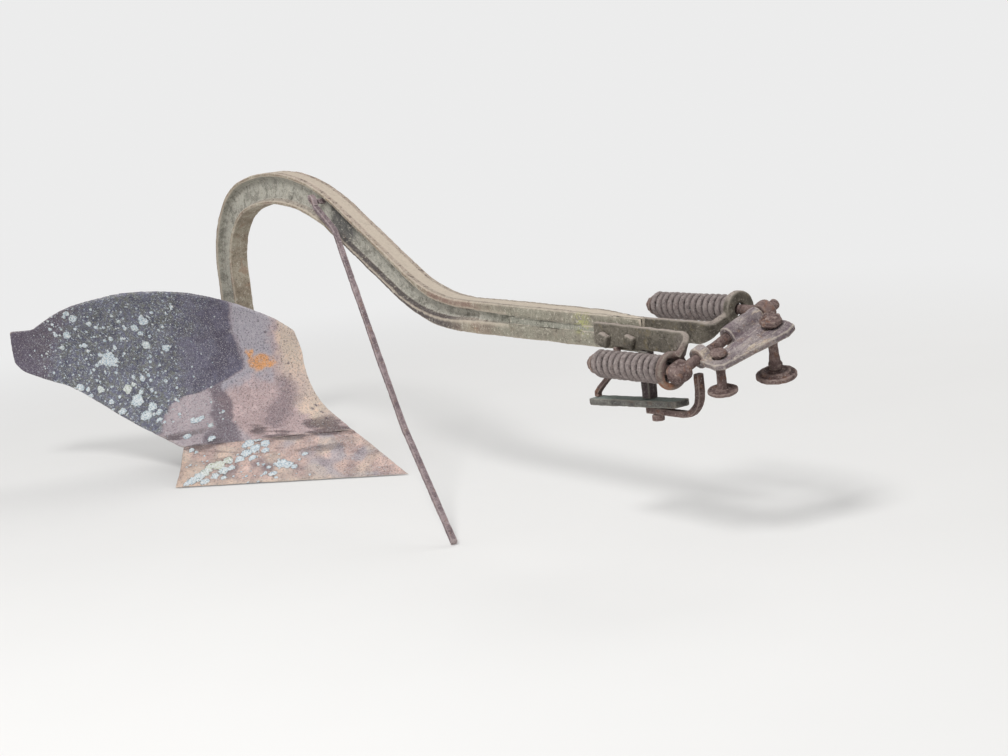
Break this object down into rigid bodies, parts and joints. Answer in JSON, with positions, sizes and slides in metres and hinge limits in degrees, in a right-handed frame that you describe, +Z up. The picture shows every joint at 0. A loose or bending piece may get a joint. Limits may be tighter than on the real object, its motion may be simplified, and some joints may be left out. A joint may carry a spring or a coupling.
{
  "type": "moldboard plough",
  "caption": "Right-hand moldboard plough bottom with share and landside on a gooseneck I-beam, a sprung drawbar hitch and a loose lift rod.",
  "frame": {"origin": "on the floor under the middle of the plough's bounding box", "axes": "+X is the direction of travel, +Y the landside (left), +Z up"},
  "size_m": [1.644, 0.49, 0.5333],
  "materials": {
    "moldboard_steel": "rusted and weathered with pale lichen",
    "share_steel": "rusted and weathered",
    "bottom_iron": "rough rust",
    "beam_iron": "dry pale weathered rust",
    "strap_iron": "olive grey weathered",
    "spring_steel": "dark rust",
    "eye_iron": "purplish rust",
    "plate_iron": "grey weathered rust",
    "bracket_iron": "dark weathered",
    "rod_iron": "purplish grey rust"
  },
  "bodies": {
    "plough": {"moldboard": "moldboard_steel", "share": "share_steel", "landside": "bottom_iron", "frog": "bottom_iron", "moldboard_brace": "bottom_iron", "beam": "beam_iron", "near_strap": "strap_iron", "far_strap": "strap_iron", "strap_bolts": "strap_iron", "near_spring": "spring_steel", "far_spring": "spring_steel", "near_rod": "eye_iron", "far_rod": "eye_iron", "cross_shaft": "eye_iron", "hitch_plate": "plate_iron", "near_pin": "eye_iron", "far_pin": "eye_iron", "near_washer": "eye_iron", "far_washer": "eye_iron", "foot_plate": "bracket_iron", "post": "bracket_iron", "rear_hook": "bracket_iron", "jay_bar": "eye_iron", "jay_bolt": "eye_iron"},
    "lift_rod": {"lift_rod": "rod_iron"}
  },
  "joints": [
    {"name": "lift_rod_hinge", "type": "hinge", "parent": "plough", "child": "lift_rod", "pos_m": [-0.18914, 0.1312, 0.47954], "axis": [0, -1, 0], "range_deg": [0, 75]}
  ]
}
